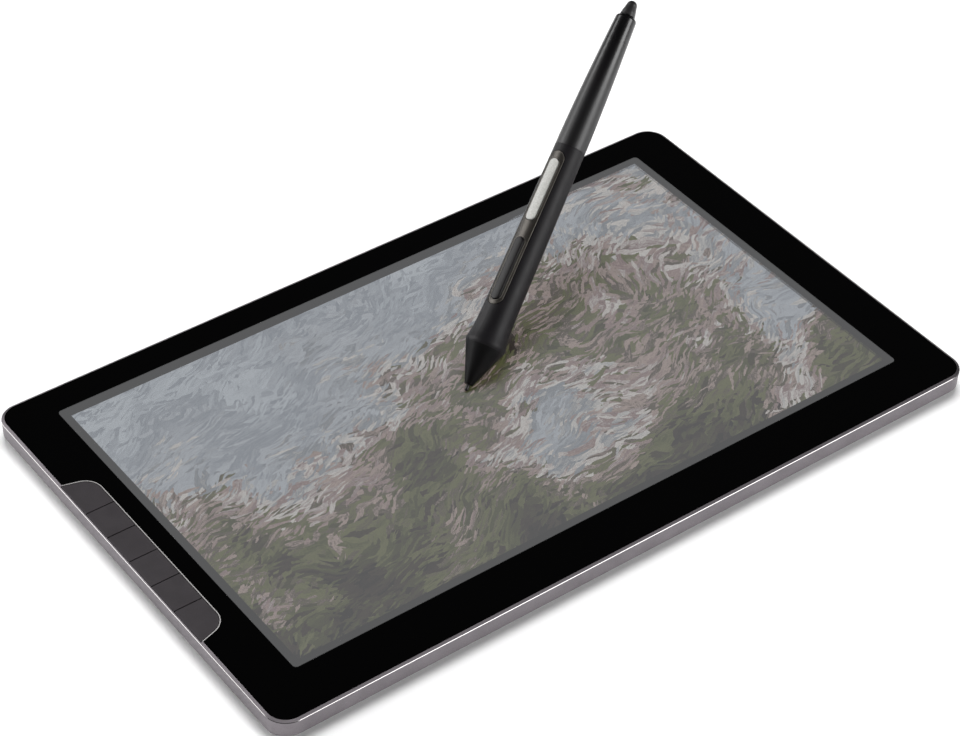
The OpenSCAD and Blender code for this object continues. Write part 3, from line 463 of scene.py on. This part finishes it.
# Shortcut keys
# Six flush keys, moulded in dark grey plastic with a fine matt surface.
# Each rests on its own switch in the bay.
key_plastic = grained(
    "key_plastic", shade(36, 32, 35), shade(46, 42, 45),
    rough=0.56, grain=0.14 * MM, relief=0.012 * MM, Specular_IOR_Level=0.25,
)
dress(key_plastic, *[f"shortcut_key_{i}" for i in range(1, 7)])


# Gasket, bond and front glass
# The glass is edge to edge, 1.1 mm thick, and its back is printed black round a clear window.
# A foam gasket seals it to the frame, and a clear bond fills the space down to the panel.
gasket_foam = grained(
    "gasket_foam", shade(18, 18, 18), shade(28, 28, 28),
    rough=0.9, grain=0.2 * MM, relief=0.02 * MM,
)
dress(gasket_foam, "glass_gasket")
glass, start = new_finish("front_glass")
place = place_on(start)
x = start.node("SeparateXYZ", {}, {"Vector": place}, "X")
y = start.node("SeparateXYZ", {}, {"Vector": place}, "Y")
off_x = start.math("ABSOLUTE", x - lit_middle.x)
off_y = start.math("ABSOLUTE", y - lit_middle.y)
print_edge = 0.15 * MM
border = start.math(
    "MAXIMUM",
    rise(off_x, lit_w / 2, lit_w / 2 + print_edge),
    rise(off_y, lit_d / 2, lit_d / 2 + print_edge),
)
coat_on(start, {
    "Base Color": shade(3, 3, 4),
    "Roughness": 0.04 + 0.02 * noise(place, 6 * MM),
    "Alpha": 0.03 + 0.97 * border,
})
dress(glass, "front_glass")
bond, start = new_finish("clear_bond")
place = place_on(start)
coat_on(start, {
    "Base Color": shade(236, 240, 244),
    "Roughness": 0.1,
    "Alpha": 0.015 + 0.01 * noise(place, 3 * MM),
})


def laid_sheet(name, node, clear, corner):
    """A thin sheet with round corners in a node's place, a hair thinner so that it lies clear."""
    low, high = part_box(node)
    left, right = low.x + corner, high.x - corner
    near, far = low.y + corner, high.y - corner
    corner_steps = 8
    ring = []
    for x, y, turn in ((right, far, 0), (left, far, 90), (left, near, 180), (right, near, 270)):
        for step in range(corner_steps + 1):
            angle = math.radians(turn + step * 90 / corner_steps)
            ring.append((x + corner * math.cos(angle), y + corner * math.sin(angle)))
    made = bmesh.new()
    under = [made.verts.new((x, y, low.z + clear)) for x, y in ring]
    over = [made.verts.new((x, y, high.z)) for x, y in ring]
    made.faces.new(over)
    made.faces.new(under[::-1])
    for i in range(len(ring)):
        j = (i + 1) % len(ring)
        made.faces.new((under[i], under[j], over[j], over[i]))
    mesh = bpy.data.meshes.new(name)
    made.to_mesh(mesh)
    made.free()
    piece = bpy.data.objects.new(name, mesh)
    bpy.context.scene.collection.objects.link(piece)
    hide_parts(node)
    return piece


clear_bond = laid_sheet("clear_bond", "optical_bond", clear=0.02 * MM, corner=0.5 * MM)
clear_bond.data.materials.append(bond)
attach(clear_bond, "tablet")


# Surface film
# A loose sheet of clear polyester with a matt face, cut a little larger than the picture.
# It lies on the glass, and its fine grain veils what is under it with a soft grey.
film, start = new_finish("clear_film")
place = place_on(start)
grain = noise(place, 0.12 * MM)
facing = start.node("NewGeometry", {}, {}, "Normal")
up = start.node("SeparateXYZ", {}, {"Vector": facing}, "Z")
cut_side = 1 - rise(start.math("ABSOLUTE", up), 0.4, 0.6)
coat_on(start, {
    "Base Color": shade(238, 239, 241),
    "Roughness": 0.4 + 0.1 * grain,
    "Normal": bump(grain, 0.006 * MM),
    "Alpha": 0.063 + 0.025 * grain + 0.5 * cut_side,
})
surface_film = laid_sheet("matt_film", "surface_film", clear=0.02 * MM, corner=1.5 * MM)
surface_film.data.materials.append(film)
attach(surface_film, "film")


# Pen's inside
# A sintered ferrite core lies behind the nib, in a coil of enamelled copper wire.
# The nose cone and the grip hold both.
joint_axis = {j["name"]: Vector(j["axis"]).normalized() for j in frame["joints"]}
pen_axis = joint_axis["nib_press"]
ferrite = grained(
    "ferrite", shade(70, 66, 60), shade(86, 80, 74),
    rough=0.5, grain=0.2 * MM, relief=0.01 * MM,
)
dress(ferrite, "pen_ferrite_core")


def along_pen(place):
    """Position along the pen's axis, in metres."""
    sockets = {"Vector": place, "Vector_001": pen_axis}
    return place.node("VectorMath", {"operation": "DOT_PRODUCT"}, sockets, "Value")


wire_pitch = 0.2 * MM
coil, start = new_finish("coil_wire")
wave = start.math("SINE", along_pen(place_on(start)) * (2 * math.pi / wire_pitch))
coat_on(start, {
    "Base Color": mix(rise(wave, -1.0, 0.4), shade(104, 46, 18), shade(198, 116, 58)),
    "Metallic": 0.8,
    "Roughness": 0.3,
    "Normal": bump(wave, 0.05 * MM),
})
dress(coil, "pen_coil")


# Pen's nib and nose cone
# The nib is a plain acetal rod, pushed into its holder from the front.
# The cone is moulded in satin black and screws into the grip.
nib_acetal = grained(
    "nib_acetal", shade(26, 24, 25), shade(34, 32, 33),
    rough=0.45, grain=0.1 * MM, relief=0.004 * MM,
)
dress(nib_acetal, "pen_nib")
cone_plastic = grained(
    "cone_plastic", shade(12, 11, 12), shade(16, 15, 16),
    rough=0.46, grain=0.1 * MM, relief=0.004 * MM, Specular_IOR_Level=0.2,
)
dress(cone_plastic, "pen_nose_cone")


# Pen's grip
# A thick sleeve with a soft-touch coating over plastic.
# It is widest at its front lip and waisted behind it.
soft_touch = grained(
    "soft_touch", shade(24, 22, 25), shade(30, 28, 31),
    rough=0.5, grain=0.1 * MM, relief=0.008 * MM, Specular_IOR_Level=0.29,
)
dress(soft_touch, "pen_grip")


# Pen's button surround
# A satin gunmetal strip glued into the grip. A fine round bead of lighter metal runs round its
# rim and round each button: its light tone is a painted highlight for the chamfered edges.
# A black line round the strip is painted shade for the gap where it meets the grip.
gunmetal = grained(
    "gunmetal", shade(68, 65, 61), shade(82, 78, 73),
    rough=0.34, grain=0.1 * MM, relief=0.004 * MM, Metallic=0.6,
)
dress(gunmetal, "pen_button_surround")
nib_round = 0.75 * MM
pen_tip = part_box("pen_nib")[0] + nib_round * Vector((1, 1, 1)) - nib_round * pen_axis
button_out = -joint_axis["lower_button_press"]
pen_side = pen_axis.cross(button_out)
grip_front = 17.0 * MM
grip_long = 79.3 * MM


def grip_round(station):
    """Radius of the grip this far behind the nib's tip."""
    behind = station - grip_front
    waist = 6.5 * MM - 0.75 * MM * (behind / grip_long) ** 1.4
    lip = 1.6 * MM * math.exp(-behind / (4.6 * MM))
    return waist + lip


def pad_ring(first, last, width, inset, lift):
    """Points round a slot with round ends on the button side of the grip.

    They are drawn in and lifted by these amounts.
    """
    r = width / 2 - inset
    front = first + width / 2
    back = last - width / 2
    turns = [math.radians(a) for a in range(-90, 91, 15)]
    side_steps = 20
    steps = [(back - front) * i / side_steps for i in range(1, side_steps)]
    outline = [(front - r * math.cos(a), -r * math.sin(a)) for a in turns]
    outline += [(front + step, -r) for step in steps]
    outline += [(back + r * math.cos(a), r * math.sin(a)) for a in turns]
    outline += [(back - step, r) for step in steps]
    ring = []
    for station, side in outline:
        out = math.sqrt((grip_round(station) + lift) ** 2 - side ** 2)
        ring.append(pen_tip + pen_axis * station + pen_side * side + button_out * out)
    return ring


pad_w = 3.9 * MM
highlight_ring_gap = 0.45 * MM
lower_pad = (33.9 * MM, 58.6 * MM)
upper_pad = (65.5 * MM, 90.2 * MM)
surround = (32.1 * MM, 93.4 * MM, 6.6 * MM)


def painted_line(name, rings, thick, finish):
    """A fine round line along each of these rings, fixed to the pen; its finish paints a highlight
    or a shade along it.
    """
    line = bpy.data.curves.new(name, "CURVE")
    line.dimensions = "3D"
    line.bevel_depth = thick / 2
    line.bevel_resolution = 2
    for ring in rings:
        run = line.splines.new("POLY")
        run.points.add(len(ring) - 1)
        run.points.foreach_set("co", [c for p in ring for c in (*p, 1.0)])
        run.use_cyclic_u = True
    line.materials.append(finish)
    piece = bpy.data.objects.new(name, line)
    bpy.context.scene.collection.objects.link(piece)
    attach(piece, "pen")


highlight_rims = [pad_ring(*surround, inset=0.12 * MM, lift=-0.06 * MM)]
for first, last in (lower_pad, upper_pad):
    slot = (first - highlight_ring_gap, last + highlight_ring_gap, pad_w + 2 * highlight_ring_gap)
    highlight_rims.append(pad_ring(*slot, inset=0.0, lift=-0.08 * MM))
# Lighter metal for the bead: a painted highlight along the chamfered edges.
highlight_bead_metal = grained(
    "highlight_bead_metal", shade(104, 101, 96), shade(126, 122, 116),
    rough=0.34, grain=0.1 * MM, relief=0.002 * MM, Metallic=1.0,
)
painted_line("surround_highlight_bead", highlight_rims, 0.18 * MM, highlight_bead_metal)
# A black line round the strip: painted shade for the gap between the strip and the grip.
gap_shade_line = [pad_ring(*surround, inset=-0.14 * MM, lift=-0.09 * MM)]
gap_painted_shade = grained(
    "gap_painted_shade", shade(4, 4, 4), shade(7, 7, 7),
    rough=0.8, grain=0.1 * MM, relief=0.004 * MM, Specular_IOR_Level=0.1,
)
painted_line("surround_gap_shade", gap_shade_line, 0.26 * MM, gap_painted_shade)


# Pen's buttons
# Two long rocker pads with rounded edges stand proud of the surround.
# The lower is satin black, and the upper is painted silver with a coarse fleck.
def button_pad(name, node, body, ends, finish):
    """A closed pad that follows the grip's round, with its upper edge rolled over."""
    proud = 0.35 * MM
    roll = 0.3 * MM
    skirt = 0.55 * MM
    rings = [pad_ring(*ends, pad_w, inset, -skirt) for inset in (pad_w / 2, 0.0)]
    for inset in (0.0, 0.03 * MM, 0.09 * MM, 0.18 * MM, roll, 0.8 * MM, 1.3 * MM, pad_w / 2):
        drop = roll * (1 - math.sqrt(1 - max(0.0, 1 - inset / roll) ** 2))
        rings.append(pad_ring(*ends, pad_w, inset, proud - drop))
    made = bmesh.new()
    rows = [[made.verts.new(p) for p in ring] for ring in rings]
    count = len(rows[0])
    for low, high in zip(rows, rows[1:]):
        for i in range(count):
            j = (i + 1) % count
            made.faces.new((low[i], low[j], high[j], high[i]))
    bmesh.ops.remove_doubles(made, verts=made.verts, dist=0.001 * MM)
    bmesh.ops.recalc_face_normals(made, faces=made.faces)
    for face in made.faces:
        face.smooth = True
    mesh = bpy.data.meshes.new(name)
    made.to_mesh(mesh)
    made.free()
    mesh.materials.append(finish)
    piece = bpy.data.objects.new(name, mesh)
    bpy.context.scene.collection.objects.link(piece)
    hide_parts(node)
    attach(piece, body)


button_dark = grained(
    "button_dark", shade(20, 18, 19), shade(27, 25, 26),
    rough=0.42, grain=0.1 * MM, relief=0.004 * MM, Specular_IOR_Level=0.3,
)
button_pad(
    "lower_pad", "pen_lower_button", "lower_button", lower_pad, button_dark
)
button_silver = grained(
    "button_silver", shade(154, 154, 150), shade(182, 182, 178),
    rough=0.38, grain=0.5 * MM, relief=0.03 * MM,
)
button_pad(
    "upper_pad", "pen_upper_button", "upper_button", upper_pad, button_silver
)


# Pen's upper barrel and tail
# The barrel is moulded in black, satin next to the grip and polished towards its tapered,
# rounded end. The tail tip is a separate polished dome.
satin_end = 100 * MM
gloss_end = 147 * MM
barrel, start = new_finish("pen_gloss")
place = place_on(start)
polish = rise(along_pen(place) - pen_tip.dot(pen_axis), satin_end, gloss_end)
flow = noise(place, 0.6 * MM)
cloud = noise(place, 24 * MM)
speckle = rise(flow * 0.6 + cloud * 0.4, 0.3, 0.7)
coat_on(start, {
    "Base Color": mix(speckle, shade(12, 11, 13), shade(14, 13, 15)),
    "Roughness": 0.41 - 0.19 * polish + 0.08 * cloud,
    "Normal": bump(flow, 0.002 * MM),
    "Specular IOR Level": 0.7,
})
dress(barrel, "pen_upper_barrel")
tail_gloss = grained(
    "tail_gloss", shade(38, 37, 38), shade(46, 45, 46),
    rough=0.38, grain=0.1 * MM, relief=0.003 * MM, Specular_IOR_Level=1.0,
)
dress(tail_gloss, "pen_tail_tip")


# Studio
# A pale floor, soft boxes overhead and to both sides, and a long lens. The boxes are kept off
# the screen, as a polariser does, so that the glass stays dark and clear. A flag keeps the
# overhead box off the pen, so that its round shows as two bands of light with black between.
def shaded(name, pieces):
    """A group of pieces that a lamp doesn't light."""
    group = bpy.data.collections.new(name)
    for piece in pieces:
        group.objects.link(piece)
    for entry in group.collection_objects:
        entry.light_linking.link_state = "EXCLUDE"
    return group


nodes = frame["nodes"]
screen = [nodes["front_glass"], nodes["lcd_panel"], clear_bond]
trim = [bpy.data.objects[name] for name in ("lower_pad", "surround_highlight_bead", "surround_gap_shade")]
pen = [piece for name, piece in nodes.items() if name.startswith("pen_")] + trim
off_sides = shaded("off_sides", screen + [surface_film])
off_overhead = shaded("off_overhead", screen + pen)


def soft_box(name, middle, size, power, left_out):
    """A square area light that faces the tablet, and that leaves out one group of pieces."""
    lamp = bpy.data.lights.new(name, "AREA")
    lamp.size = size
    lamp.energy = power
    made = bpy.data.objects.new(name, lamp)
    made.location = middle
    made.rotation_mode = "QUATERNION"
    made.rotation_quaternion = (-Vector(middle)).to_track_quat("-Z", "Y")
    made.light_linking.receiver_collection = left_out
    bpy.context.scene.collection.objects.link(made)


soft_box("overhead_box", (0.28, 0.36, 2.35), size=1.2, power=50, left_out=off_overhead)
soft_box("left_box", (-0.93, 1.11, 0.68), size=1.3, power=21, left_out=off_sides)
soft_box("front_box", (0.8, -1.42, 0.68), size=1.0, power=19, left_out=off_sides)

floor_reach = 60.0
glow_start = 0.6
glow_full = 2.2
ways = ((-1, -1), (1, -1), (1, 1), (-1, 1))
floor_mesh = bpy.data.meshes.new("floor")
corners = [(x * floor_reach, y * floor_reach, 0) for x, y in ways]
floor_mesh.from_pydata(corners, [], [(0, 1, 2, 3)])
floor = bpy.data.objects.new("floor", floor_mesh)
bpy.context.scene.collection.objects.link(floor)
pale, start = new_finish("pale_floor")
place = place_on(start)
far = start.node("VectorMath", {"operation": "LENGTH"}, {"Vector": place}, "Value")
glow = rise(far, glow_start, glow_full)
coat_on(start, {
    "Base Color": mix(noise(place, 0.6), shade(250, 250, 250), shade(252, 252, 252)),
    "Roughness": 0.9,
    "Specular IOR Level": 0.1,
    "Emission Color": mix(glow, shade(0, 0, 0), shade(255, 255, 255)),
    "Emission Strength": 1.0,
})
floor_mesh.materials.append(pale)

dim_room = (0.03, 0.03, 0.031, 1.0)
world = bpy.data.worlds.new("studio")
world.use_nodes = True
world.node_tree.nodes["Background"].inputs["Color"].default_value = dim_room
bpy.context.scene.world = world
bpy.context.scene.view_settings.view_transform = "Standard"

eye = (-0.4683, -0.6010, 0.6830)
turns = ((-37.69, "Z"), (48.98, "X"), (1.69, "Z"))
lens = bpy.data.cameras.new("camera")
lens.sensor_width = 36
lens.lens = 106.5
camera = bpy.data.objects.new("camera", lens)
heading, tilt, roll = [Matrix.Rotation(math.radians(turn), 4, axis) for turn, axis in turns]
camera.matrix_world = Matrix.Translation(eye) @ heading @ tilt @ roll
bpy.context.scene.collection.objects.link(camera)
bpy.context.scene.camera = camera
